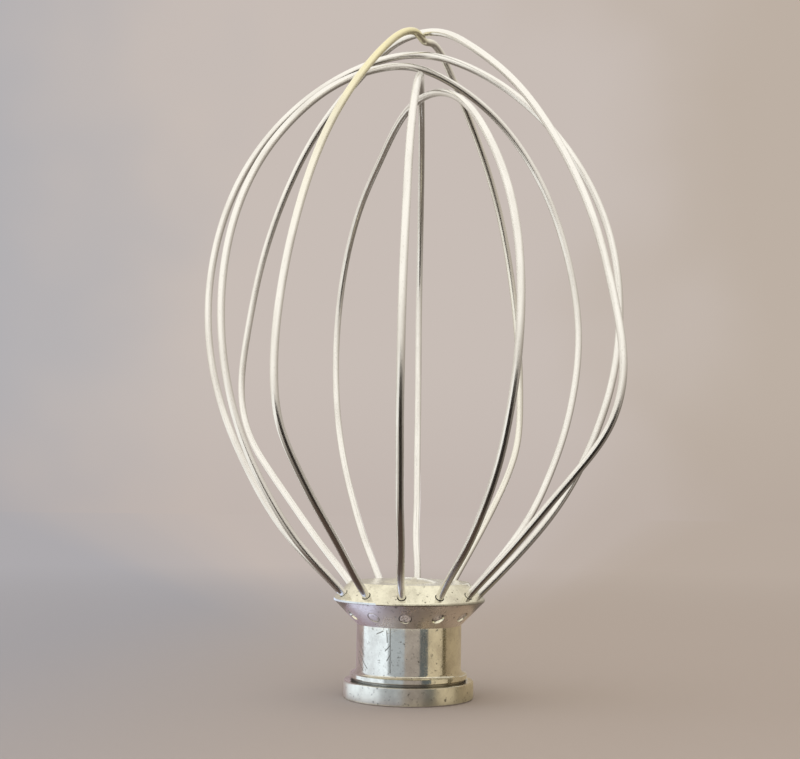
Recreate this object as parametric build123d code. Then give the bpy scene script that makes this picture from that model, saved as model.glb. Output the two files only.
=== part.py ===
from build123d import *
from dataclasses import dataclass
from math import atan2, cos, degrees, radians, sin, tan
import os

# A wire whisk for a stand mixer: one metal hub with wire loops staked into slanted sockets round its rim.
# All sizes are in millimetres. The hub stands on its base ring with its axis on Z, and the wires rise above it.
# Azimuths are counted from the front (-Y), positive towards +X.

# Wire and sockets
WIRE_DIAMETER = 2.0
SOCKET_COUNT = 12
SOCKET_INSET = 1.37
SOCKET_DEPTH = 8.0
SOCKET_TILT = 45.0
SOCKET_CLEARANCE = 0.05
MOUTH_RELIEF = 0.12
MOUTH_RELIEF_DEPTH = 0.9

# Staking dents, one below each socket and turned a few degrees from it
DENT_DIAMETER = 3.4
DENT_DEPTH = 0.7
DENT_DRAFT = 0.3
DENT_ALONG = 5.4
DENT_TURN = 2.5

# Outside of the hub. The radius of the neck drives the others, which are steps from the form beside them.
NECK_RADIUS = 13.75
NECK_HEIGHT = 12.6
BEAD_STEP = 1.55
BEAD_LAND = 0.15
BEAD_HEIGHT = 1.3
GROOVE_CUT = 0.7
GROOVE_HEIGHT = 0.5
BASE_STEP = 1.7
BASE_HEIGHT = 4.6
RIM_STEP = 6.15
RIM_LAND = 0.6
RIM_ROUNDING = 0.35
SHOULDER_WIDTH = 4.2
DISC_WIDTH = 8.1
DOME_RISE = 1.2
EDGE_ROUNDING = 0.4

# Drive socket: a blind bore with a slot and a side pocket for the pin of the shaft
BORE_RADIUS = 6.4
BORE_DEPTH = 24.0
BORE_LEAD_IN = 0.6
PIN_SLOT_WIDTH = 4.8
PIN_SLOT_REACH = 10.6
PIN_SLOT_DEPTH = 17.0
PIN_POCKET_HEIGHT = 5.4
PIN_POCKET_TURN = 40.0

# Cage of wires: radius of its widest corner, and height of its crown above the mouths of the sockets
CAGE_RADIUS = 62.5
CAGE_HEIGHT = 152.3

# Share of each straight run that the bend at either end of it may use
BEND_SHARE = 0.48
LEAST_TURN = 1e-5

# Radii that follow from the sizes above
BEAD_RADIUS = NECK_RADIUS + BEAD_STEP
NECK_FILLET = BEAD_STEP - BEAD_LAND
GROOVE_RADIUS = BEAD_RADIUS - GROOVE_CUT
BASE_RADIUS = BEAD_RADIUS + BASE_STEP
RIM_RADIUS = NECK_RADIUS + RIM_STEP
DISC_RADIUS = RIM_RADIUS - SHOULDER_WIDTH
DOME_RADIUS = DISC_RADIUS - DISC_WIDTH
SOCKET_RADIUS = RIM_RADIUS - SOCKET_INSET

# Heights that follow from the sizes above. The flare runs along the sockets, and the shoulder lies square to them.
BEAD_FOOT = BASE_HEIGHT + GROOVE_HEIGHT
NECK_FOOT = BEAD_FOOT + BEAD_HEIGHT
FLARE_FOOT = NECK_FOOT + NECK_HEIGHT
RIM_FOOT = FLARE_FOOT + RIM_STEP / tan(radians(SOCKET_TILT))
RIM_TOP = RIM_FOOT + RIM_LAND
DISC_TOP = RIM_TOP + SHOULDER_WIDTH * tan(radians(SOCKET_TILT))
MOUTH_HEIGHT = RIM_TOP + SOCKET_INSET * tan(radians(SOCKET_TILT))
SOCKET_STEP = 360.0 / SOCKET_COUNT


@dataclass
class Loop:
    """One bent wire: the corners of a side before they are rounded, as (radius, height), from the hub up.

    Lengths are shares: those across the axis of the radius of the cage, and heights of its height.
    """

    name: str
    socket: int
    corners: tuple
    sway: float = 0.0
    lean: float = 0.0
    turn: float = 0.0
    crimp: tuple = ()


# From the tallest loop to the lowest. Sway is the drift of the crown in the plane of the loop, lean its drift
# out of that plane, and turn the twist of the loop against its two sockets, in degrees. A crimp is a row of
# further corners over the crown, as (offset along the loop, height), where one wire is bent to pass below another.
LOOPS = (
    Loop(
        name="wire_loop_1",
        socket=2,
        corners=((0.567, 0.11), (1.0, 0.298), (0.989, 0.467), (0.845, 0.683), (0.55, 0.867), (0.163, 1.0)),
        sway=-0.01,
    ),
    Loop(
        name="wire_loop_2",
        socket=11,
        corners=((0.886, 0.261), (0.886, 0.461), (0.722, 0.696), (0.43, 0.873), (0.184, 0.969)),
        sway=0.032,
        lean=0.044,
        crimp=((0.07, 0.997), (0.011, 0.982), (-0.074, 0.988)),
    ),
    Loop(
        name="wire_loop_3",
        socket=3,
        corners=((0.602, 0.129), (0.894, 0.364), (0.894, 0.605), (0.696, 0.795), (0.253, 0.959)),
        sway=-0.026,
    ),
    Loop(
        name="wire_loop_4",
        socket=4,
        corners=((0.574, 0.118), (0.838, 0.34), (0.838, 0.586), (0.637, 0.782), (0.219, 0.934)),
        sway=-0.021,
    ),
    Loop(
        name="wire_loop_5",
        socket=0,
        corners=((0.608, 0.13), (0.888, 0.356), (0.888, 0.582), (0.68, 0.759), (0.24, 0.907)),
        lean=0.005,
        turn=3.5,
    ),
    Loop(
        name="wire_loop_6",
        socket=1,
        corners=((0.735, 0.174), (0.946, 0.336), (0.946, 0.54), (0.733, 0.725), (0.229, 0.873)),
        sway=0.038,
    ),
)


def outward(azimuth):
    """Level direction away from the axis at an azimuth."""
    return Vector(sin(radians(azimuth)), -cos(radians(azimuth)), 0)


def socket_plane(azimuth):
    """Plane on the mouth of a socket, its Z along the socket and out of it."""
    away = outward(azimuth)
    mouth = away * SOCKET_RADIUS + Vector(0, 0, MOUTH_HEIGHT)
    along = away * sin(radians(SOCKET_TILT)) + Vector(0, 0, cos(radians(SOCKET_TILT)))
    return Plane(origin=mouth, x_dir=outward(azimuth + 90), z_dir=along)


def circles_at(solid, radius, height):
    """Level circular edges of a solid at a radius and height."""
    found = []
    for edge in solid.edges().filter_by(GeomType.CIRCLE):
        centre = edge.arc_center
        if abs(edge.radius - radius) < 0.01 and abs(centre.Z - height) < 0.01 and abs(centre.X) < 0.01:
            found.append(edge)
    return found


def make_hub_blank():
    """Turned outside of the hub, from the base ring to the low dome on top."""
    outline = Polyline(
        (0, 0),
        (BASE_RADIUS, 0),
        (BASE_RADIUS, BASE_HEIGHT),
        (GROOVE_RADIUS, BASE_HEIGHT),
        (GROOVE_RADIUS, BEAD_FOOT),
        (BEAD_RADIUS, BEAD_FOOT),
        (BEAD_RADIUS, NECK_FOOT),
        (NECK_RADIUS, NECK_FOOT),
        (NECK_RADIUS, FLARE_FOOT),
        (RIM_RADIUS, RIM_FOOT),
        (RIM_RADIUS, RIM_TOP),
        (DISC_RADIUS, DISC_TOP),
        (DOME_RADIUS, DISC_TOP),
    )
    sphere_radius = (DOME_RADIUS**2 + DOME_RISE**2) / (2 * DOME_RISE)
    dome = RadiusArc((DOME_RADIUS, DISC_TOP), (0, DISC_TOP + DOME_RISE), -sphere_radius)
    axis_side = Line((0, DISC_TOP + DOME_RISE), (0, 0))
    section = Plane.XZ * make_face([outline, dome, axis_side])
    blank = revolve(section, Axis.Z)
    blank = fillet(circles_at(blank, NECK_RADIUS, NECK_FOOT), NECK_FILLET)
    blank = fillet(circles_at(blank, RIM_RADIUS, RIM_FOOT) + circles_at(blank, RIM_RADIUS, RIM_TOP), RIM_ROUNDING)
    soft_edges = circles_at(blank, BASE_RADIUS, 0) + circles_at(blank, BASE_RADIUS, BASE_HEIGHT)
    soft_edges += circles_at(blank, BEAD_RADIUS, BEAD_FOOT) + circles_at(blank, DISC_RADIUS, DISC_TOP)
    return fillet(soft_edges, EDGE_ROUNDING)


def make_drive_socket():
    """Space inside the hub for the shaft and its pin."""
    upward = (Align.CENTER, Align.CENTER, Align.MIN)
    bore = Cylinder(BORE_RADIUS, BORE_DEPTH, align=upward)
    lead_in = Cone(BORE_RADIUS + BORE_LEAD_IN, BORE_RADIUS, BORE_LEAD_IN, align=upward)
    slot = Box(PIN_SLOT_REACH, PIN_SLOT_WIDTH, PIN_SLOT_DEPTH, align=(Align.MIN, Align.CENTER, Align.MIN))
    inside = Cylinder(PIN_SLOT_REACH, PIN_SLOT_DEPTH, align=upward)
    pocket_section = Plane.XZ * Pos(PIN_SLOT_REACH / 2, PIN_SLOT_DEPTH - PIN_POCKET_HEIGHT / 2) * Rectangle(
        PIN_SLOT_REACH, PIN_POCKET_HEIGHT
    )
    half_slot = degrees(atan2(PIN_SLOT_WIDTH / 2, PIN_SLOT_REACH))
    pocket = revolve(pocket_section, Axis.Z, PIN_POCKET_TURN + half_slot)
    return bore + lead_in + (slot & inside) + pocket


def make_wire_socket(azimuth):
    """Slanted hole for one wire end, with a wider mouth."""
    downward = (Align.CENTER, Align.CENTER, Align.MAX)
    upward = (Align.CENTER, Align.CENTER, Align.MIN)
    radius = WIRE_DIAMETER / 2 + SOCKET_CLEARANCE
    hole = Cylinder(radius, SOCKET_DEPTH, align=downward)
    relief = Cylinder(radius + MOUTH_RELIEF, MOUTH_RELIEF_DEPTH, align=downward)
    clear_above = Cylinder(radius + MOUTH_RELIEF, WIRE_DIAMETER, align=upward)
    return socket_plane(azimuth) * (hole + relief + clear_above)


def make_dent(azimuth):
    """Punched dent in the flared underside that squeezes the metal onto one wire."""
    plane = socket_plane(azimuth)
    away = outward(azimuth)
    out_of_flare = away * cos(radians(SOCKET_TILT)) - Vector(0, 0, sin(radians(SOCKET_TILT)))
    flare_corner = away * NECK_RADIUS + Vector(0, 0, FLARE_FOOT)
    on_socket = plane.origin - plane.z_dir * DENT_ALONG
    to_surface = (flare_corner - on_socket).dot(out_of_flare)
    on_flare = on_socket + out_of_flare * to_surface
    punch = Cone(
        DENT_DIAMETER / 2 - DENT_DRAFT,
        DENT_DIAMETER / 2 + DENT_DRAFT,
        2 * DENT_DEPTH,
    )
    return Plane(origin=on_flare, x_dir=plane.x_dir, z_dir=out_of_flare) * punch


def make_hub():
    hub = make_hub_blank() - make_drive_socket()
    for index in range(SOCKET_COUNT):
        azimuth = index * SOCKET_STEP
        hub -= make_wire_socket(azimuth)
        hub -= make_dent(azimuth + DENT_TURN)
    return hub


def loop_corners(loop):
    """Corner points of a whole loop, from the bottom of one socket to the bottom of the opposite one."""
    azimuth = loop.socket * SOCKET_STEP
    along = outward(azimuth + loop.turn)
    across = outward(azimuth + loop.turn + 90)
    crown = max(height for _, height in loop.corners + loop.crimp)

    def place(offset, height):
        level = (along * offset + across * (loop.lean * height / crown)) * CAGE_RADIUS
        return level + Vector(0, 0, MOUTH_HEIGHT + height * CAGE_HEIGHT)

    def drift(height):
        return loop.sway * height / crown

    first = socket_plane(azimuth)
    second = socket_plane(azimuth + 180)
    points = [first.origin - first.z_dir * SOCKET_DEPTH, first.origin + first.z_dir * WIRE_DIAMETER]
    points += [place(drift(height) + radius, height) for radius, height in loop.corners]
    points += [place(offset, height) for offset, height in loop.crimp]
    points += [place(drift(height) - radius, height) for radius, height in reversed(loop.corners)]
    points += [second.origin + second.z_dir * WIRE_DIAMETER, second.origin - second.z_dir * SOCKET_DEPTH]
    return points


def rounded_path(points):
    """Straight runs joined by tangent arcs, each as wide as the shorter run beside it allows.

    A corner that hardly turns has no arc, and the run goes straight on through it.
    """
    pieces = []
    start = points[0]
    for before, corner, after in zip(points, points[1:], points[2:]):
        arriving = (corner - before).normalized()
        leaving = (after - corner).normalized()
        half_turn = radians(arriving.get_angle(leaving)) / 2
        if half_turn < LEAST_TURN:
            continue
        setback = BEND_SHARE * min((corner - before).length, (after - corner).length)
        bend_radius = setback / tan(half_turn)
        to_middle = (leaving - arriving).normalized() * (bend_radius / cos(half_turn) - bend_radius)
        bend_start = corner - arriving * setback
        bend_end = corner + leaving * setback
        pieces.append(Line(start, bend_start))
        pieces.append(ThreePointArc(bend_start, corner + to_middle, bend_end))
        start = bend_end
    pieces.append(Line(start, points[-1]))
    return Wire(pieces)


def make_loop(loop):
    points = loop_corners(loop)
    path = rounded_path(points)
    end_face = Plane(origin=points[0], z_dir=points[1] - points[0]) * Circle(WIRE_DIAMETER / 2)
    return sweep(end_face, path=path)


def main():
    os.makedirs("parts", exist_ok=True)
    export_step(make_hub(), "parts/hub.step")
    for loop in LOOPS:
        export_step(make_loop(loop), f"parts/{loop.name}.step")


main()
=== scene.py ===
"""A worn stand mixer whisk on a plain studio floor.

Six hand-bent wire loops staked into a polished hub.
"""

import math
from dataclasses import dataclass

import bmesh
import bpy
import numpy as np
from bpy.props import FloatProperty, FloatVectorProperty, IntProperty, PointerProperty
from bpy.types import Operator, Panel, PropertyGroup
from mathutils import Matrix, Vector, noise


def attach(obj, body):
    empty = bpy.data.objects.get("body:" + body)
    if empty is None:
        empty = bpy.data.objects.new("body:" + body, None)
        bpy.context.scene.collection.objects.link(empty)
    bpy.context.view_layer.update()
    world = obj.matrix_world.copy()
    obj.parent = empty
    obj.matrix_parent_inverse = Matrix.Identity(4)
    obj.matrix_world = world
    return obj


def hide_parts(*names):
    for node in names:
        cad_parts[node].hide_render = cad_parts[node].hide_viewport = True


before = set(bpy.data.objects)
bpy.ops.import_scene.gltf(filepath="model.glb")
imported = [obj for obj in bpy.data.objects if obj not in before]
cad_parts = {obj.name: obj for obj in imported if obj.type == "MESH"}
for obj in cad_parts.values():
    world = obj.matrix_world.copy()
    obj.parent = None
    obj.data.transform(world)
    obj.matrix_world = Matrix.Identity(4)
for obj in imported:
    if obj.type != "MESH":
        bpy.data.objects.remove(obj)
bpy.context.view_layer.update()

bl_info = {
    "name": "Wire Whisk",
    "version": (1, 0, 0),
    "blender": (4, 5, 0),
    "location": "View3D > Sidebar > Whisk",
    "description": "Bends the wires of a stand mixer whisk, finishes its hub and sets a studio round it",
    "category": "Object",
}

MM = 0.001
BODY = "root"

# Sockets of a Mix node that mixes colours
FIRST_COLOUR = 6
SECOND_COLOUR = 7
MIXED_COLOUR = 2

# Hub sizes that the wires and the punch marks are placed by, in millimetres
NECK_RADIUS = 13.75
FLARE_FOOT = 19.0
BASE_HEIGHT = 4.6
RIM_RADIUS = 19.9
RIM_TOP = 25.75
SOCKET_COUNT = 12
SOCKET_STEP = 360 / SOCKET_COUNT
SOCKET_INSET = 1.37
SOCKET_DEPTH = 8.0
SOCKET_TILT = math.radians(45.0)
SOCKET_RADIUS = RIM_RADIUS - SOCKET_INSET
MOUTH_HEIGHT = RIM_TOP + SOCKET_INSET * math.tan(SOCKET_TILT)
DENT_UP_FLARE = 3.72
DENT_DEPTH = 0.7
DENT_TURN = 2.5
MARK_FOOT = 1.36
MARK_TOP = 1.62
MARK_SUNK = 0.03
MARK_SPOKES = 24

# Where the yellow film on one wire starts, is strongest and stops, in millimetres along the wire
STRAW_WIRE = "wire_loop_2"
STRAW_STRETCH = (95.0, 188.0, 200.0)

# Distance in millimetres that keeps the film and spots of one wire from repeating on the next
PATTERN_STEP = 20

# Turn in radians of each set of fine scratches, then how often its noise changes per
# millimetre across and along them
FINE_SCRATCHES = ((0.15, 1.1, 0.06), (0.9, 1.4, 0.08), (-0.7, 1.5, 0.07))

# Heights at which the half widths of the loops are given, in millimetres
STATIONS = (40, 50, 60, 70, 80, 100, 120, 140)


@dataclass
class Loop:
    """One wire: half widths of its two sides at the stations, then points over its crown.

    A crown point is (offset along the loop, height). Drifts are distances out of the plane of
    the loop, one for each point in the same order. All of them are in millimetres.
    """

    node: str
    socket: int
    near_side: tuple
    far_side: tuple
    crown: tuple
    near_drift: tuple = ()
    far_drift: tuple = ()
    crown_drift: tuple = ()


# Most of these figures were printed by a program that fitted curves to points read off the photograph
LOOPS = (
    Loop(
        node="wire_loop_1",
        socket=2,
        near_side=(31.8, 41.4, 51.0, 58.8, 62.0, 60.1, 54.7, 45.5),
        far_side=(32.0, 41.8, 51.3, 59.1, 62.5, 61.0, 56.1, 47.4),
        crown=(
            (31.5, 160), (17.6, 172.5), (7.8, 178.2), (0.5, 179.3),
            (-6.5, 178.4), (-18, 172), (-32.8, 160),
        ),
    ),
    Loop(
        node="wire_loop_2",
        socket=11,
        near_side=(30.2, 39.5, 47.9, 54.1, 56.1, 54.7, 49.7, 41.2),
        far_side=(31.4, 40.8, 48.8, 53.5, 54.3, 52.4, 47.2, 38.4),
        crown=(
            (27.2, 160), (15.6, 171.9), (6.8, 177.6), (3.2, 178), (0.3, 176.8),
            (-3.5, 177.3), (-7.5, 176), (-12.7, 171.6), (-23.9, 160),
        ),
        near_drift=(0.2, 0.4, 0.6, 0.8, 1.0, 1.3, 1.7, 2.1),
        far_drift=(0.2, 0.4, 0.6, 0.8, 1.0, 1.3, 1.7, 2.1),
        crown_drift=(2.4, 2.6, 2.7, 2.7, 2.7, 2.7, 2.7, 2.6, 2.4),
    ),
    Loop(
        node="wire_loop_3",
        socket=3,
        near_side=(30.7, 38.6, 44.5, 48.9, 52.2, 55.0, 53.1, 45.2),
        far_side=(31.6, 39.2, 44.9, 49.7, 53.3, 56.6, 55.0, 48.1),
        crown=((28.9, 160), (14.8, 169.4), (0, 173.5), (-12.5, 171.3), (-32.1, 160)),
    ),
    Loop(
        node="wire_loop_4",
        socket=4,
        near_side=(30.7, 37.9, 43.0, 47.0, 49.8, 51.9, 48.6, 40.6),
        far_side=(31.1, 38.3, 43.9, 48.1, 51.0, 53.2, 51.0, 43.0),
        crown=(
            (33.8, 150), (23.5, 160), (11, 167), (-1.5, 169.8),
            (-12, 167.5), (-25.5, 160), (-35.8, 150),
        ),
    ),
    Loop(
        node="wire_loop_5",
        socket=0,
        near_side=(31.1, 39.1, 44.8, 49.7, 53.1, 55.3, 52.6, 43.0),
        far_side=(31.1, 39.1, 44.8, 49.7, 53.1, 55.3, 52.6, 43.0),
        crown=((34.2, 150), (22, 159.2), (9, 164.2), (-9, 164.2), (-22, 159.2), (-34.2, 150)),
        near_drift=(1.0, 1.5, 2.0, 2.4, 2.8, 3.3, 3.6, 3.4),
        far_drift=(-1.5, -2.2, -2.8, -3.3, -3.6, -3.9, -3.6, -2.5),
        crown_drift=(3.2, 2.8, 2.1, 0.6, -0.5, -1.6),
    ),
    Loop(
        node="wire_loop_6",
        socket=1,
        near_side=(33.3, 42.4, 49.4, 54.1, 57.4, 59.7, 55.4, 42.4),
        far_side=(32.3, 41.0, 48.2, 53.5, 56.8, 58.3, 53.4, 39.0),
        crown=((31.9, 150), (17.5, 157.6), (6.1, 159.9), (-5.2, 159.4), (-14.2, 156.2), (-24.6, 150)),
    ),
)

# Share of each staking dent that metal fills, in the order of the sockets. A full one is driven smooth.
MARK_FILL = (0.9, 0.25, 0.6, 0.4, 1.0, 0.5, 0.7, 0.4, 1.0, 0.6, 0.5, 1.0)

# Profile of the metal in a dent from its foot to its middle, as shares of its radius and of its height
MARK_PROFILE = ((1.0, 0.0), (1.0, 0.75), (0.93, 0.95), (0.75, 1.0), (0.5, 1.0), (0.25, 1.0), (0.0, 1.0))

# Scratches on the neck, each from one (azimuth in degrees, height in millimetres) to another
NECK_SCRATCHES = (
    ((-13.5, 19.0), (-13.2, 8.0)),
    ((-13.4, 14.9), (-19.0, 13.4)),
    ((-13.3, 12.6), (-17.0, 11.0)),
    ((-17.5, 18.5), (-16.8, 15.6)),
    ((-62.0, 12.5), (-44.0, 8.5)),
    ((-66.0, 10.8), (-52.0, 7.8)),
    ((-58.0, 14.0), (-50.0, 11.8)),
    ((-30.0, 17.5), (-22.0, 18.3)),
)


def linear(colour):
    """Linear red, green, blue and alpha of an sRGB hex colour."""
    shares = [int(colour[i : i + 2], 16) / 255 for i in (1, 3, 5)]
    return tuple(c / 12.92 if c <= 0.04045 else ((c + 0.055) / 1.055) ** 2.4 for c in shares) + (1.0,)


def outward(azimuth):
    """Level direction at an azimuth in degrees, counted from the front and positive to the right."""
    return np.array((math.sin(math.radians(azimuth)), -math.cos(math.radians(azimuth)), 0.0))


def colour_choice(name, description, colour):
    """Colour that a user can change."""
    return FloatVectorProperty(
        name=name, description=description, default=linear(colour)[:3], subtype="COLOR", min=0.0, max=1.0
    )


class WireSettings(PropertyGroup):
    """Sizes and colours of the wires"""

    diameter: FloatProperty(
        name="Diameter", description="Thickness of the wire", default=2.0 * MM, unit="LENGTH"
    )
    sides: IntProperty(name="Sides", description="Faces round the wire", default=20, min=8)
    step: FloatProperty(
        name="Step", description="Length of a face along the wire", default=0.8 * MM, unit="LENGTH"
    )
    steel: colour_choice("Steel", "Bright drawn steel", "#E4E2DE")
    tarnish: colour_choice("Tarnish", "Dull film on the steel", "#B4AEA5")
    straw: colour_choice("Straw tint", "Yellowed film on one wire", "#E2D9A4")


class HubSettings(PropertyGroup):
    """Colours of the hub"""

    metal: colour_choice("Metal", "Polished aluminium", "#DEDAC6")
    oxide: colour_choice("Oxide", "Dull patches on the metal", "#BDB7A6")
    # One dark colour serves for the real dirt in the pits and for the painted shade in the corners and dents
    dirt_and_shade_colour: colour_choice("Grime", "Dirt in pits and corners", "#3A332B")
    # The flare colour is painted shade on faces that look down, as under the rim; those faces are also made
    # rougher
    flare: colour_choice("Flare", "Duller metal under the rim", "#CDC2BE")
    torn: colour_choice("Torn metal", "Rough metal in the staking dents", "#E2D8D2")


class StageSettings(PropertyGroup):
    """Light, floor and camera"""

    floor: colour_choice("Floor", "Floor paper", "#9E9692")
    floor_left: colour_choice("Floor left", "Floor paper on the window side", "#8F9098")
    backdrop: colour_choice("Backdrop", "Middle of the backdrop", "#C8BDB6")
    backdrop_left: colour_choice("Backdrop left", "Window side of the backdrop", "#B2B0B3")
    backdrop_right: colour_choice("Backdrop right", "Far side of the backdrop", "#BDB0A4")
    backdrop_low: colour_choice("Backdrop low", "Shade of the backdrop low down", "#F5F3F3")
    tent_high: colour_choice("Tent high", "Light tent above and towards the window", "#FBF8F1")
    tent_middle: colour_choice("Tent middle", "Light tent at the height of the whisk", "#BFB8AF")
    tent_low: colour_choice("Tent low", "Light tent below", "#6C645C")
    tent_strength: FloatProperty(name="Tent strength", description="Glow of the light tent", default=1.31)
    lens: FloatProperty(name="Lens", description="Focal length", default=56.37, unit="CAMERA")
    camera_place: FloatVectorProperty(
        name="Camera place",
        description="Where the camera stands",
        default=(0.03451, -0.33305, 0.05096),
        unit="LENGTH",
    )
    heading: FloatProperty(
        name="Heading",
        description="Turn of the camera to the left",
        default=math.radians(6.477),
        subtype="ANGLE",
    )
    pitch: FloatProperty(
        name="Pitch", description="Tilt of the camera upwards", default=math.radians(5.569), subtype="ANGLE"
    )
    roll: FloatProperty(
        name="Roll", description="Roll of the camera", default=math.radians(0.794), subtype="ANGLE"
    )


def add_node(tree, kind, *values, named=None, **settings):
    """Adds a node with its settings and gives back its outputs.

    Values go to the inputs in their order, and named ones to the inputs of those names or numbers.
    An output of another node is linked, and anything else is set.
    """
    node = tree.nodes.new("ShaderNode" + kind)
    for name, value in settings.items():
        setattr(node, name, value)
    for key, value in (*enumerate(values), *(named or {}).items()):
        if isinstance(value, bpy.types.NodeSocket):
            tree.links.new(value, node.inputs[key])
        else:
            node.inputs[key].default_value = value
    return node.outputs


def new_material(name):
    """Empty node material and its tree."""
    material = bpy.data.materials.new(name)
    material.use_nodes = True
    material.node_tree.nodes.clear()
    return material, material.node_tree


def metal_surface(tree, colour, roughness, normal, metallic=1.0):
    """Metal shader on the surface."""
    inputs = {"Base Color": colour, "Metallic": metallic, "Roughness": roughness, "Normal": normal}
    shader = add_node(tree, "BsdfPrincipled", named=inputs)[0]
    add_node(tree, "OutputMaterial", shader)


def drawn_steel(name, settings, straw_stretch=None):
    """Drawn stainless wire, tumbled bright and worn dull in patches.

    The eye sees a broad soft highlight with faint lines along the wire, long dull patches and small spots.
    A stretch, in millimetres along the wire, turns from bright to straw yellow where one is given.
    """
    material, tree = new_material(name)
    along = add_node(tree, "Attribute", attribute_name="straight_wire")["Vector"]
    # Die lines are a few hundredths of a millimetre apart, drawn 0.25 mm apart so that they show
    lines_at = add_node(tree, "VectorMath", along, (4.0, 4.0, 0.05), operation="MULTIPLY")[0]
    lines = add_node(tree, "TexNoise", lines_at, named={"Scale": 1.0, "Detail": 3.0})[0]
    # Film lies in patches about 15 mm long
    patches_at = add_node(tree, "VectorMath", along, (0.4, 0.4, 0.07), operation="MULTIPLY")[0]
    patches = add_node(tree, "TexNoise", patches_at, named={"Scale": 1.0, "Detail": 4.0})[0]
    film = add_node(tree, "MapRange", patches, 0.45, 0.8, 0.0, 0.45)[0]
    # Water spots are about 0.3 mm wide
    spots_at = add_node(tree, "VectorMath", along, (1.1, 1.1, 0.6), operation="MULTIPLY")[0]
    spots = add_node(tree, "TexVoronoi", spots_at, named={"Scale": 1.0})["Distance"]
    spot = add_node(tree, "MapRange", spots, 0.1, 0.2, 0.25, 0.0)[0]
    bright = (*settings.steel, 1.0)
    tarnish = (*settings.tarnish, 1.0)
    if straw_stretch:
        start, end, stop = straw_stretch
        length = add_node(tree, "SeparateXYZ", along)["Z"]
        yellowing = add_node(
            tree, "MapRange", length, start, end, 0.0, 0.8, interpolation_type="SMOOTHSTEP"
        )[0]
        ending = add_node(
            tree, "MapRange", length, end, stop, 1.0, 0.15, interpolation_type="SMOOTHSTEP"
        )[0]
        share = add_node(tree, "Math", yellowing, ending, operation="MULTIPLY")[0]
        tints = {FIRST_COLOUR: bright, SECOND_COLOUR: (*settings.straw, 1.0)}
        bright = add_node(tree, "Mix", share, named=tints, data_type="RGBA")[MIXED_COLOUR]
    steel = add_node(
        tree, "Mix", film, named={FIRST_COLOUR: bright, SECOND_COLOUR: tarnish}, data_type="RGBA"
    )[MIXED_COLOUR]
    colour = add_node(
        tree, "Mix", spot, named={FIRST_COLOUR: steel, SECOND_COLOUR: tarnish}, data_type="RGBA"
    )[MIXED_COLOUR]
    rough = add_node(tree, "MapRange", patches, 0.3, 0.75, 0.18, 0.3)[0]
    relief = {"Strength": 0.12, "Distance": 0.01 * MM, "Height": lines}
    normal = add_node(tree, "Bump", named=relief)[0]
    metal_surface(tree, colour, rough, normal)
    return material


def neck_scratches(tree, in_mm):
    """Mask of the named scratches, drawn on the unrolled neck."""
    place = add_node(tree, "SeparateXYZ", in_mm)
    to_front = add_node(tree, "Math", place["Y"], -1.0, operation="MULTIPLY")[0]
    azimuth = add_node(tree, "Math", place["X"], to_front, operation="ARCTAN2")[0]
    around = add_node(tree, "Math", azimuth, NECK_RADIUS, operation="MULTIPLY")[0]
    unrolled = add_node(tree, "CombineXYZ", around, place["Z"])[0]
    wobble = add_node(tree, "TexNoise", in_mm, named={"Scale": 0.9, "Detail": 2.0})["Color"]
    shaken = add_node(tree, "VectorMath", wobble, (0.3, 0.3, 0.0), unrolled, operation="MULTIPLY_ADD")[0]
    # Each scratch is about 0.2 mm wide and wanders by as much
    found = 0.0
    for ends in NECK_SCRATCHES:
        start, end = [Vector((math.radians(angle) * NECK_RADIUS, height, 0)) for angle, height in ends]
        run = end - start
        way = run.normalized()
        offset = add_node(tree, "VectorMath", shaken, start, operation="SUBTRACT")[0]
        reach = add_node(tree, "VectorMath", offset, way, operation="DOT_PRODUCT")["Value"]
        held = add_node(tree, "Clamp", reach, 0.0, run.length)[0]
        nearest = add_node(tree, "VectorMath", way, named={"Scale": held}, operation="SCALE")[0]
        distance = add_node(tree, "VectorMath", offset, nearest, operation="DISTANCE")["Value"]
        scratch = add_node(tree, "MapRange", distance, 0.06, 0.2, 1.0, 0.0)[0]
        found = add_node(tree, "Math", found, scratch, operation="MAXIMUM")[0]
    return found


def fine_scratches(tree, in_mm):
    """Mask of fine scratches, which are thin contour lines of noise that is drawn out along them."""
    found = 0.0
    for turn, across, along in FINE_SCRATCHES:
        turned = add_node(tree, "VectorRotate", in_mm, named={"Angle": turn}, rotation_type="Y_AXIS")[0]
        stretched = add_node(tree, "VectorMath", turned, (across, across, along), operation="MULTIPLY")[0]
        grain = add_node(tree, "TexNoise", stretched, named={"Scale": 1.0, "Detail": 1.0})[0]
        height = add_node(tree, "Math", grain, 0.56, operation="SUBTRACT")[0]
        distance = add_node(tree, "Math", height, operation="ABSOLUTE")[0]
        scratch = add_node(tree, "MapRange", distance, 0.0, 0.006, 1.0, 0.0)[0]
        found = add_node(tree, "Math", found, scratch, operation="MAXIMUM")[0]
    return found


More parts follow.
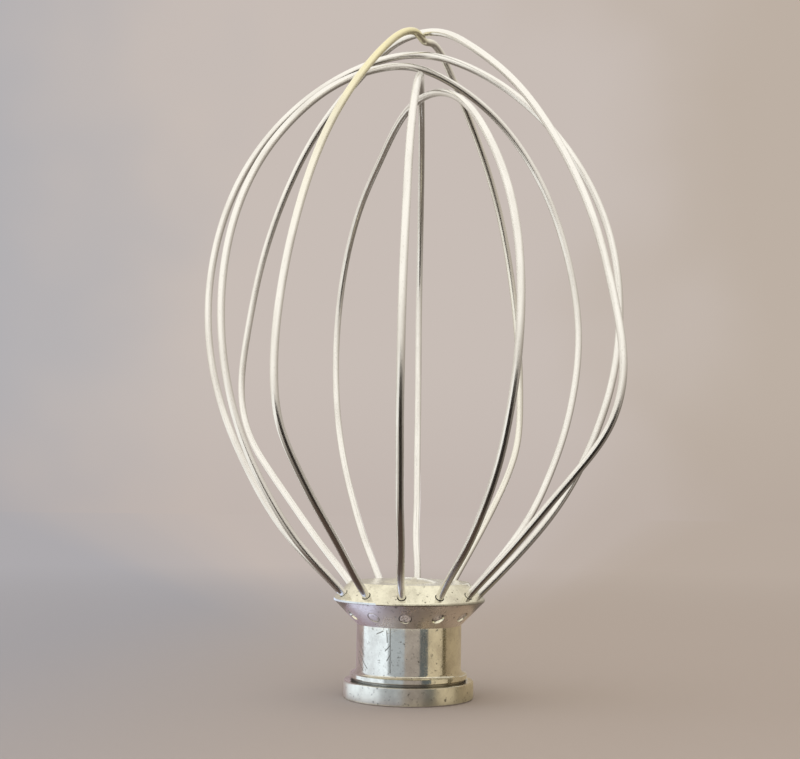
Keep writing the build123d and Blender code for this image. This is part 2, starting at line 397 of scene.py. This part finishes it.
def polished_aluminium(settings):
    """Cast aluminium, turned and buffed, then scratched and stained by years of washing.

    The eye sees soft wavy reflections, dull oxide patches, fine scratches, dark specks, painted shade in the
    corners, a duller base ring and a duller flare under the rim, darkened by painted shade on the faces that
    look down.
    """
    material, tree = new_material("polished_cast_aluminium")
    place = add_node(tree, "TexCoord")["Object"]
    in_mm = add_node(tree, "VectorMath", place, named={"Scale": 1 / MM}, operation="SCALE")[0]
    height = add_node(tree, "SeparateXYZ", in_mm)["Z"]
    # Oxide lies in patches about 6 mm wide
    patches = add_node(
        tree, "TexNoise", in_mm, named={"Scale": 1 / 6, "Detail": 6.0, "Roughness": 0.62}
    )[0]
    oxide = add_node(tree, "MapRange", patches, 0.42, 0.66, 0.0, 0.8)[0]
    # Specks of old dirt are under 1 mm wide, and round pits 0.4 mm wide lie about 1.5 mm apart
    smears = add_node(tree, "TexNoise", in_mm, named={"Scale": 0.9, "Detail": 4.0, "Roughness": 0.6})[0]
    smear = add_node(tree, "MapRange", smears, 0.61, 0.7, 0.0, 0.6)[0]
    cells = add_node(tree, "TexVoronoi", in_mm, named={"Scale": 0.65})["Distance"]
    hole = add_node(tree, "MapRange", cells, 0.09, 0.18, 0.75, 0.0)[0]
    facing = add_node(tree, "SeparateXYZ", add_node(tree, "NewGeometry")["True Normal"])["Z"]
    upward = add_node(tree, "MapRange", facing, 0.2, 0.6, 0.3, 1.0)[0]
    pit = add_node(tree, "Math", hole, upward, operation="MULTIPLY")[0]
    scratched = fine_scratches(tree, in_mm)
    gouged = neck_scratches(tree, in_mm)
    # Ambient occlusion darkens the corners, groove, sockets and dents of the hub: this is painted shade
    corner = add_node(tree, "AmbientOcclusion", named={"Distance": 1.0 * MM}, samples=8)["AO"]
    painted_crevice_shade = add_node(tree, "MapRange", corner, 0.3, 0.7, 0.8, 0.0)[0]
    # The floor makes no corner with the hub, so the lowest 0.5 mm gets none of this painted shade
    off_floor = add_node(tree, "MapRange", height, 0.0, 0.5)[0]
    painted_corner_shade = add_node(tree, "Math", painted_crevice_shade, off_floor, operation="MULTIPLY")[0]
    spotted = add_node(tree, "Math", smear, pit, operation="MAXIMUM")[0]
    scored = add_node(tree, "Math", gouged, 0.75, operation="MULTIPLY")[0]
    marked = add_node(tree, "Math", spotted, scored, operation="MAXIMUM")[0]
    # Specks, pits and scratches are real dirt and marks. The corner darkening joined to them is painted shade
    dirt_and_painted_shade = add_node(tree, "Math", marked, painted_corner_shade, operation="MAXIMUM")[0]
    tones = {FIRST_COLOUR: (*settings.metal, 1.0), SECOND_COLOUR: (*settings.oxide, 1.0)}
    metal = add_node(tree, "Mix", oxide, named=tones, data_type="RGBA")[MIXED_COLOUR]
    # Faces that look down, such as the flare under the rim, turn darker and mauve: painted shade. They also
    # get rougher below
    downward = add_node(tree, "MapRange", facing, -0.3, -0.6)[0]
    tones = {FIRST_COLOUR: metal, SECOND_COLOUR: (*settings.flare, 1.0)}
    metal = add_node(tree, "Mix", downward, named=tones, data_type="RGBA")[MIXED_COLOUR]
    tones = {FIRST_COLOUR: metal, SECOND_COLOUR: (*settings.dirt_and_shade_colour, 1.0)}
    colour = add_node(tree, "Mix", dirt_and_painted_shade, named=tones, data_type="RGBA")[MIXED_COLOUR]
    polish = add_node(tree, "MapRange", patches, 0.3, 0.7, 0.1, 0.22)[0]
    scuffed = add_node(tree, "Math", scratched, 0.1, polish, operation="MULTIPLY_ADD")[0]
    rough_from_dirt_and_shade = add_node(tree, "Math", dirt_and_painted_shade, 0.4, scuffed, operation="MULTIPLY_ADD")[0]
    rubbed = add_node(tree, "MapRange", height, BASE_HEIGHT - 0.4, BASE_HEIGHT, 0.3, 0.0)[0]
    dulled = add_node(tree, "Math", downward, 0.12, rubbed, operation="MULTIPLY_ADD")[0]
    rough = add_node(tree, "Math", rough_from_dirt_and_shade, dulled, operation="ADD")[0]
    # Buffing leaves waves about 3 mm long
    waves = add_node(tree, "TexNoise", in_mm, named={"Scale": 1 / 3, "Detail": 2.0})[0]
    wavy = add_node(tree, "Bump", named={"Strength": 0.2, "Distance": 0.06 * MM, "Height": waves})[0]
    cut = add_node(tree, "Math", scratched, gouged, operation="MAXIMUM")[0]
    relief = {"Strength": 0.25, "Distance": 0.02 * MM, "Height": cut, "Normal": wavy}
    normal = add_node(tree, "Bump", named=relief, invert=True)[0]
    metal_surface(tree, colour, rough, normal)
    return material


def torn_aluminium(settings):
    """Bare aluminium torn up by the staking punch and dulled by oxide.

    The eye sees a pale grain of about 0.3 mm with dark cracks, and painted shade where the metal lies deep in
    the dent.
    """
    material, tree = new_material("torn_aluminium")
    place = add_node(tree, "TexCoord")["Object"]
    in_mm = add_node(tree, "VectorMath", place, named={"Scale": 1 / MM}, operation="SCALE")[0]
    grain = add_node(tree, "TexNoise", in_mm, named={"Scale": 3.0, "Detail": 4.0})[0]
    cracks = add_node(tree, "MapRange", grain, 0.36, 0.52, 0.8, 0.0)[0]
    # Ambient occlusion darkens the metal that lies deep in the dent: painted shade
    corner = add_node(tree, "AmbientOcclusion", named={"Distance": 1.0 * MM}, samples=8)["AO"]
    painted_corner_shade = add_node(tree, "MapRange", corner, 0.55, 0.95, 0.9, 0.0)[0]
    cracks_and_shade = add_node(tree, "Math", cracks, painted_corner_shade, operation="MAXIMUM")[0]
    tones = {FIRST_COLOUR: (*settings.torn, 1.0), SECOND_COLOUR: (*settings.dirt_and_shade_colour, 1.0)}
    colour = add_node(tree, "Mix", cracks_and_shade, named=tones, data_type="RGBA")[MIXED_COLOUR]
    relief = {"Strength": 0.8, "Distance": 0.12 * MM, "Height": grain}
    normal = add_node(tree, "Bump", named=relief)[0]
    metal_surface(tree, colour, 0.6, normal, metallic=0.4)
    return material


def wire_points(loop):
    """Points that a loop passes, from the bottom of one socket over the crown to the bottom of the other."""
    along = outward(loop.socket * SOCKET_STEP)
    across = outward(loop.socket * SOCKET_STEP + 90)
    rise = np.array((0.0, 0.0, 1.0))

    def in_socket(side):
        axis = along * side * math.sin(SOCKET_TILT) + rise * math.cos(SOCKET_TILT)
        mouth = along * side * SOCKET_RADIUS + rise * MOUTH_HEIGHT
        return [mouth + axis * reach for reach in (-SOCKET_DEPTH, -SOCKET_DEPTH / 2, 0.0, 2.0)]

    def place(offset, height, drift):
        return along * offset + across * drift + rise * height

    straight = (0.0,) * len(STATIONS)
    near_drift = loop.near_drift or straight
    far_drift = loop.far_drift or straight
    crown_drift = loop.crown_drift or (0.0,) * len(loop.crown)
    near = [place(*point) for point in zip(loop.near_side, STATIONS, near_drift)]
    top = [place(offset, height, drift) for (offset, height), drift in zip(loop.crown, crown_drift)]
    far = [place(-half, height, drift) for half, height, drift in zip(loop.far_side, STATIONS, far_drift)]
    return np.array(in_socket(1) + near + top + far[::-1] + in_socket(-1)[::-1])


def smooth_line(points, step):
    """Evenly spaced points on the smoothest curve through the given ones, and their distances along it."""
    runs = np.linalg.norm(np.diff(points, axis=0), axis=1)
    knots = np.concatenate(([0.0], np.cumsum(runs)))
    count = len(knots)
    system = np.eye(count)
    pull = np.zeros((count, 3))
    slopes = np.diff(points, axis=0) / runs[:, None]
    for i in range(1, count - 1):
        system[i, i - 1 : i + 2] = runs[i - 1], 2 * (runs[i - 1] + runs[i]), runs[i]
        pull[i] = 6 * (slopes[i] - slopes[i - 1])
    bend = np.linalg.solve(system, pull)
    at = np.linspace(0.0, knots[-1], int(knots[-1] / step) + 1)
    k = np.clip(np.searchsorted(knots, at, "right") - 1, 0, count - 2)
    run = runs[k][:, None]
    to_next = (knots[k + 1] - at)[:, None]
    from_last = (at - knots[k])[:, None]
    curved = (bend[k] * to_next**3 + bend[k + 1] * from_last**3) / (6 * run)
    before = (points[k] / run - bend[k] * run / 6) * to_next
    after = (points[k + 1] / run - bend[k + 1] * run / 6) * from_last
    return curved + before + after, at


def bent_wire(name, loop, settings):
    """Round wire swept along a loop and closed at both ends.

    Its place on the straight wire is kept for the material.
    """
    line, lengths = smooth_line(wire_points(loop), settings.step / MM)
    across = outward(loop.socket * SOCKET_STEP + 90)
    heading = np.gradient(line, axis=0)
    heading /= np.linalg.norm(heading, axis=1)[:, None]
    side = across - heading * (heading @ across)[:, None]
    side /= np.linalg.norm(side, axis=1)[:, None]
    other = np.cross(heading, side)
    radius = settings.diameter / MM / 2
    turns = np.linspace(0.0, 2 * math.pi, settings.sides, endpoint=False)
    first_part = np.cos(turns)[None, :, None] * side[:, None, :]
    second_part = np.sin(turns)[None, :, None] * other[:, None, :]
    ring = first_part + second_part
    surface = line[:, None, :] + ring * radius
    count = len(line)
    sides = settings.sides
    faces = []
    for i in range(count - 1):
        for j in range(sides):
            following = (j + 1) % sides
            first = i * sides + j
            second = i * sides + following
            faces.append((first, second, second + sides, first + sides))
    faces.append(tuple(range(sides))[::-1])
    faces.append(tuple((count - 1) * sides + j for j in range(sides)))
    mesh = bpy.data.meshes.new(name)
    mesh.from_pydata((surface.reshape(-1, 3) * MM).tolist(), [], faces)
    mesh.shade_smooth()
    straight = np.zeros((count, sides, 3))
    straight[:, :, 0] = np.cos(turns) * radius + PATTERN_STEP * loop.socket
    straight[:, :, 1] = np.sin(turns) * radius
    straight[:, :, 2] = lengths[:, None]
    kept = mesh.attributes.new("straight_wire", "FLOAT_VECTOR", "POINT")
    kept.data.foreach_set("vector", straight.astype(np.float32).ravel())
    mesh.update()
    piece = bpy.data.objects.new(name, mesh)
    bpy.context.scene.collection.objects.link(piece)
    return piece


class WHISK_OT_wire_loops(Operator):
    """Bends the six wire loops and seats their ends in the hub"""

    bl_idname = "whisk.wire_loops"
    bl_label = "Add Wire Loops"

    def execute(self, context):
        settings = context.scene.whisk_wires
        plain = drawn_steel("drawn_stainless_wire", settings)
        yellowed = drawn_steel("drawn_stainless_wire_yellowed", settings, STRAW_STRETCH)
        for number, loop in enumerate(LOOPS, start=1):
            piece = bent_wire(f"bent_wire_{number}", loop, settings)
            piece.data.materials.append(yellowed if loop.node == STRAW_WIRE else plain)
            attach(piece, BODY)
            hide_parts(loop.node)
        return {"FINISHED"}


class WHISK_OT_hub(Operator):
    """Gives the hub its worn, polished metal"""

    bl_idname = "whisk.hub"
    bl_label = "Finish Hub"

    def execute(self, context):
        metal = polished_aluminium(context.scene.whisk_hub)
        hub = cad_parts["hub"]
        for slot in hub.material_slots:
            slot.material = metal
        return {"FINISHED"}


def punch_mark(mesh, azimuth, fill, seed):
    """Adds the lump of metal that the punch leaves in one staking dent."""
    away = Vector(outward(azimuth))
    rise = Vector((0, 0, 1))
    out = away * math.cos(SOCKET_TILT) - rise * math.sin(SOCKET_TILT)
    along = away * math.sin(SOCKET_TILT) + rise * math.cos(SOCKET_TILT)
    across = Vector(outward(azimuth + 90))
    centre = away * NECK_RADIUS + rise * FLARE_FOOT + along * DENT_UP_FLARE - out * DENT_DEPTH
    # Lumps are about 0.6 mm wide and a quarter of the metal's height tall
    lump_scale = 1.7
    lump_height = 0.25
    start = Vector((seed * 7.3, 0, 0))
    loops = []
    for share, height in MARK_PROFILE:
        lift = fill * DENT_DEPTH * height
        radius = share * (MARK_FOOT + (MARK_TOP - MARK_FOOT) * fill * height)
        loop = []
        for s in range(MARK_SPOKES if share else 1):
            turn = 2 * math.pi * s / MARK_SPOKES
            spot = across * (math.cos(turn) * radius) + along * (math.sin(turn) * radius)
            rough = noise.noise(spot * lump_scale + start) if fill < 1 else 0.0
            raised = lift * (1 + lump_height * rough) - MARK_SUNK
            loop.append(mesh.verts.new((centre + spot + out * raised) * MM))
        loops.append(loop)
    finish = 1 if fill >= 1 else 0
    for lower, upper in zip(loops, loops[1:]):
        for s in range(MARK_SPOKES):
            following = (s + 1) % MARK_SPOKES
            corners = [lower[s], lower[following], upper[following % len(upper)], upper[s % len(upper)]]
            mesh.faces.new(dict.fromkeys(corners)).material_index = finish
    mesh.faces.new(loops[0][::-1])


class WHISK_OT_punch_marks(Operator):
    """Adds the rough marks in the staking dents under the rim"""

    bl_idname = "whisk.punch_marks"
    bl_label = "Add Punch Marks"

    def execute(self, context):
        mesh = bmesh.new()
        for index, fill in enumerate(MARK_FILL):
            punch_mark(mesh, index * SOCKET_STEP + DENT_TURN, fill, index)
        bmesh.ops.recalc_face_normals(mesh, faces=mesh.faces)
        data = bpy.data.meshes.new("punch_marks")
        mesh.to_mesh(data)
        mesh.free()
        data.shade_smooth()
        piece = bpy.data.objects.new("punch_marks", data)
        context.scene.collection.objects.link(piece)
        data.materials.append(torn_aluminium(context.scene.whisk_hub))
        data.materials.append(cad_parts["hub"].material_slots[0].material)
        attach(piece, BODY)
        return {"FINISHED"}


# Sizes of the stage in metres
FLOOR_RADIUS = 4.0
TENT_RADIUS = 3.0

# Direction in which the light tent gets paler
TENT_AXIS = (-0.24, -0.4, 0.885)


def backdrop_colour(tree, direction, settings):
    """Colour of the backdrop in a direction: cool on the window side and darker low down."""
    place = add_node(tree, "SeparateXYZ", direction)
    mottle = add_node(tree, "TexNoise", direction, named={"Scale": 7.0, "Detail": 2.0})[0]
    shifted = add_node(tree, "MapRange", mottle, 0.0, 1.0, -0.12, 0.12)[0]
    sideways = add_node(tree, "Math", place["X"], shifted, operation="ADD")[0]
    leftness = add_node(tree, "MapRange", sideways, -0.22, -0.45, interpolation_type="SMOOTHSTEP")[0]
    rightness = add_node(tree, "MapRange", sideways, -0.02, 0.18, interpolation_type="SMOOTHSTEP")[0]
    lowness = add_node(tree, "MapRange", place["Z"], 0.12, -0.06, interpolation_type="SMOOTHSTEP")[0]
    tones = {FIRST_COLOUR: (*settings.backdrop, 1.0), SECOND_COLOUR: (*settings.backdrop_right, 1.0)}
    colour = add_node(tree, "Mix", rightness, named=tones, data_type="RGBA")[MIXED_COLOUR]
    tones = {FIRST_COLOUR: colour, SECOND_COLOUR: (*settings.backdrop_left, 1.0)}
    colour = add_node(tree, "Mix", leftness, named=tones, data_type="RGBA")[MIXED_COLOUR]
    tones = {FIRST_COLOUR: colour, SECOND_COLOUR: (*settings.backdrop_low, 1.0)}
    return add_node(
        tree, "Mix", lowness, named=tones, data_type="RGBA", blend_type="MULTIPLY"
    )[MIXED_COLOUR]


def floor_paper(settings):
    """Matt paper that fades into the backdrop away from the object, so that no edge shows."""
    material, tree = new_material("matt_floor_paper")
    place = add_node(tree, "NewGeometry")["Position"]
    distance = add_node(tree, "VectorMath", place, operation="LENGTH")["Value"]
    fade = add_node(tree, "MapRange", distance, 0.02, 0.7, interpolation_type="SMOOTHSTEP")[0]
    direction = add_node(tree, "VectorMath", place, operation="NORMALIZE")[0]
    sideways = add_node(tree, "SeparateXYZ", place)["X"]
    leftness = add_node(tree, "MapRange", sideways, 0.03, -0.16, interpolation_type="SMOOTHSTEP")[0]
    tones = {FIRST_COLOUR: (*settings.floor, 1.0), SECOND_COLOUR: (*settings.floor_left, 1.0)}
    colour = add_node(tree, "Mix", leftness, named=tones, data_type="RGBA")[MIXED_COLOUR]
    paper = add_node(tree, "BsdfDiffuse", colour)[0]
    glow = add_node(tree, "Emission", backdrop_colour(tree, direction, settings))[0]
    surface = add_node(tree, "MixShader", fade, paper, glow)[0]
    # Seen from below, the floor is left out, so that it doesn't hide the underside of the hub
    from_below = add_node(tree, "NewGeometry")["Backfacing"]
    clear = add_node(tree, "BsdfTransparent")[0]
    one_sided = add_node(tree, "MixShader", from_below, surface, clear)[0]
    add_node(tree, "OutputMaterial", one_sided)
    return material


def add_floor(settings):
    """Round floor under the whisk."""
    mesh = bmesh.new()
    bmesh.ops.create_circle(mesh, cap_ends=True, segments=96, radius=FLOOR_RADIUS)
    data = bpy.data.meshes.new("floor")
    mesh.to_mesh(data)
    mesh.free()
    floor = bpy.data.objects.new("floor", data)
    # A hair below the base ring, so that the two faces don't share a plane
    floor.location.z = -0.02 * MM
    data.materials.append(floor_paper(settings))
    bpy.context.scene.collection.objects.link(floor)
    floor.visible_glossy = False


def add_backdrop(settings):
    """World that is one plain soft backdrop all round."""
    world = bpy.data.worlds.new("backdrop")
    world.use_nodes = True
    tree = world.node_tree
    tree.nodes.clear()
    direction = add_node(tree, "TexCoord")["Generated"]
    sky = add_node(tree, "Background", backdrop_colour(tree, direction, settings))[0]
    add_node(tree, "OutputWorld", sky)
    bpy.context.scene.world = world


def show_to_metal_only(piece):
    """Leaves a stage piece visible in mirror reflections and nowhere else."""
    for ray in ("camera", "diffuse", "transmission", "volume_scatter", "shadow"):
        setattr(piece, "visible_" + ray, False)


def add_tent(settings):
    """Light tent that only the metal reflects: pale above, in front and towards the window, dark below."""
    material, tree = new_material("light_tent")
    place = add_node(tree, "NewGeometry")["Position"]
    direction = add_node(tree, "VectorMath", place, operation="NORMALIZE")[0]
    rise = add_node(tree, "VectorMath", direction, TENT_AXIS, operation="DOT_PRODUCT")["Value"]
    lower = add_node(tree, "MapRange", rise, -0.65, -0.1)[0]
    upper = add_node(tree, "MapRange", rise, -0.1, 0.55)[0]
    tones = {FIRST_COLOUR: (*settings.tent_low, 1.0), SECOND_COLOUR: (*settings.tent_middle, 1.0)}
    colour = add_node(tree, "Mix", lower, named=tones, data_type="RGBA")[MIXED_COLOUR]
    tones = {FIRST_COLOUR: colour, SECOND_COLOUR: (*settings.tent_high, 1.0)}
    colour = add_node(tree, "Mix", upper, named=tones, data_type="RGBA")[MIXED_COLOUR]
    glow = add_node(tree, "Emission", colour, settings.tent_strength)[0]
    add_node(tree, "OutputMaterial", glow)
    mesh = bmesh.new()
    bmesh.ops.create_icosphere(mesh, subdivisions=4, radius=TENT_RADIUS)
    data = bpy.data.meshes.new("light_tent")
    mesh.to_mesh(data)
    mesh.free()
    data.materials.append(material)
    tent = bpy.data.objects.new("light_tent", data)
    bpy.context.scene.collection.objects.link(tent)
    show_to_metal_only(tent)


def add_softbox(name, place, aim, width, height, radiance, colour):
    """Rectangular lamp that faces a point, with the brightness of its face given where white is 1."""
    lamp = bpy.data.lights.new(name, "AREA")
    lamp.shape = "RECTANGLE"
    lamp.size = width
    lamp.size_y = height
    lamp.energy = math.pi * width * height * radiance
    lamp.color = linear(colour)[:3]
    softbox = bpy.data.objects.new(name, lamp)
    softbox.location = place
    softbox.rotation_euler = (Vector(aim) - Vector(place)).to_track_quat("-Z", "Y").to_euler()
    softbox.visible_camera = False
    softbox.visible_glossy = False
    bpy.context.scene.collection.objects.link(softbox)


@dataclass
class Card:
    """Card that only the metal reflects, as photographers set beside shiny things.

    It runs round the whisk between two azimuths in degrees, from one edge to another. An edge is
    (radius, height) in millimetres.
    """

    name: str
    start: float
    end: float
    first_edge: tuple
    second_edge: tuple
    colour: str
    strength: float = 1.0


# Edges, as (radius, height), of the cards under the flare, under the feet of the wires and round the neck
HUB_CARD_EDGES = {"first_edge": (17.4, 0.2), "second_edge": (24, 0.2)}
FEET_CARD_EDGES = {"first_edge": (24, 0.2), "second_edge": (58, 0.2)}
NECK_CARD_EDGES = {"first_edge": (21, 0), "second_edge": (21, 18.5)}
# The metal doesn't reflect the floor, so a far card may reach below it. The colours of the neck's cards
# were worked out by a program from the bands that the neck shows in the photograph, and then partly changed.
CARDS = (
    Card("card_hub_left", -180, 0, **HUB_CARD_EDGES, colour="#8C7A80"),
    Card("card_hub_right", 0, 180, **HUB_CARD_EDGES, colour="#8E8270"),
    Card("card_feet_left", -150, -60, **FEET_CARD_EDGES, colour="#7D6E68"),
    Card("card_feet_front", -60, 60, **FEET_CARD_EDGES, colour="#54463D"),
    Card("card_feet_right", 60, 150, **FEET_CARD_EDGES, colour="#857B68"),
    Card("card_floor_front", -14, 58, (58, 0.2), (300, 0.2), "#2E2924"),
    Card("card_low_left", -135, -18, (600, -340), (600, -20), "#F8F7F2", 1.25),
    Card("card_low_front_left", -66, -18, (600, -720), (600, -340), "#CFCAC2"),
    Card("card_rim_left", -150, -20, (20.4, 24.4), (20.4, 25.75), "#D5E2FF", 1.5),
    Card("card_neck_far_left", -137, -77, **NECK_CARD_EDGES, colour="#B5A5AC"),
    Card("card_neck_left", -77, -25, **NECK_CARD_EDGES, colour="#DBE7FF", strength=1.65),
    Card("card_neck_front_left", -25, 0, **NECK_CARD_EDGES, colour="#BCC6DA"),
    Card("card_neck_front", 0, 22, **NECK_CARD_EDGES, colour="#B8B0B2"),
    Card("card_neck_dark", 22, 34.5, **NECK_CARD_EDGES, colour="#686F77"),
    Card("card_neck_right", 34.5, 59.5, **NECK_CARD_EDGES, colour="#E2D4BE"),
    Card("card_neck_line", 59.5, 67, **NECK_CARD_EDGES, colour="#665B44"),
    Card("card_neck_far_right", 67, 136, **NECK_CARD_EDGES, colour="#B8A78F"),
    Card("card_dome", 155, 190, (90, 46), (90, 62), "#FFFFFF", 1.3),
)


def add_card(card):
    """Builds one card."""
    material, tree = new_material(card.name)
    glow = add_node(tree, "Emission", linear(card.colour), card.strength)[0]
    add_node(tree, "OutputMaterial", glow)
    azimuths = np.linspace(card.start, card.end, 25)
    corners = []
    for radius, height in (card.first_edge, card.second_edge):
        corners += [(outward(azimuth) * radius + (0, 0, height)) * MM for azimuth in azimuths]
    count = len(azimuths)
    faces = [(i, i + 1, count + i + 1, count + i) for i in range(count - 1)]
    data = bpy.data.meshes.new(card.name)
    data.from_pydata(corners, [], faces)
    data.materials.append(material)
    piece = bpy.data.objects.new(card.name, data)
    bpy.context.scene.collection.objects.link(piece)
    show_to_metal_only(piece)


def add_camera(settings):
    """Camera at the photograph's viewpoint."""
    heading = settings.heading
    pitch = settings.pitch
    roll = settings.roll
    forward = Vector(
        (-math.sin(heading) * math.cos(pitch), math.cos(heading) * math.cos(pitch), math.sin(pitch))
    )
    level = forward.cross(Vector((0, 0, 1))).normalized()
    upright = level.cross(forward)
    right = level * math.cos(roll) + upright * math.sin(roll)
    up = upright * math.cos(roll) - level * math.sin(roll)
    lens = bpy.data.cameras.new("camera")
    lens.lens = settings.lens
    lens.sensor_width = 36.0
    lens.clip_start = 0.01
    camera = bpy.data.objects.new("camera", lens)
    turn = Matrix((right, up, -forward)).transposed().to_4x4()
    camera.matrix_world = Matrix.Translation(settings.camera_place) @ turn
    bpy.context.scene.collection.objects.link(camera)
    bpy.context.scene.camera = camera


class WHISK_OT_stage(Operator):
    """Sets the floor, the backdrop, the lamps and the camera"""

    bl_idname = "whisk.stage"
    bl_label = "Set Stage"

    def execute(self, context):
        scene = context.scene
        settings = scene.whisk_stage
        scene.view_settings.view_transform = "Standard"
        add_backdrop(settings)
        add_floor(settings)
        add_tent(settings)
        middle = (0, 0, 0.08)
        add_softbox(
            "ceiling", (0, 0.1, 0.95), (0, 0.1, 0), width=1.8, height=1.8, radiance=1.15, colour="#FFF8E6"
        )
        add_softbox(
            "front", (0.05, -1.15, 0.58), middle, width=1.8, height=0.9, radiance=1.35, colour="#FFFAF0"
        )
        add_softbox(
            "window", (-1.0, -0.3, 0.4), middle, width=1.2, height=0.75, radiance=1.7, colour="#EDF3FF"
        )
        for card in CARDS:
            add_card(card)
        add_camera(settings)
        return {"FINISHED"}


class WHISK_PT_panel(Panel):
    """Pieces, sizes and colours of the whisk"""

    bl_label = "Wire Whisk"
    bl_space_type = "VIEW_3D"
    bl_region_type = "UI"
    bl_category = "Whisk"

    def draw(self, context):
        for operator, group in PANEL_ROWS:
            self.layout.operator(operator)
            settings = getattr(context.scene, group) if group else None
            for name in settings.__annotations__ if settings else ():
                self.layout.prop(settings, name)


PANEL_ROWS = (
    ("whisk.wire_loops", "whisk_wires"),
    ("whisk.hub", "whisk_hub"),
    ("whisk.punch_marks", None),
    ("whisk.stage", "whisk_stage"),
)
CLASSES = (
    WireSettings,
    HubSettings,
    StageSettings,
    WHISK_OT_wire_loops,
    WHISK_OT_hub,
    WHISK_OT_punch_marks,
    WHISK_OT_stage,
    WHISK_PT_panel,
)


def register():
    for item in CLASSES:
        bpy.utils.register_class(item)
    bpy.types.Scene.whisk_wires = PointerProperty(type=WireSettings)
    bpy.types.Scene.whisk_hub = PointerProperty(type=HubSettings)
    bpy.types.Scene.whisk_stage = PointerProperty(type=StageSettings)


def unregister():
    del bpy.types.Scene.whisk_stage
    del bpy.types.Scene.whisk_hub
    del bpy.types.Scene.whisk_wires
    for item in reversed(CLASSES):
        bpy.utils.unregister_class(item)


def main():
    register()
    bpy.ops.whisk.wire_loops()
    bpy.ops.whisk.hub()
    bpy.ops.whisk.punch_marks()
    bpy.ops.whisk.stage()


if __name__ == "__main__":
    main()
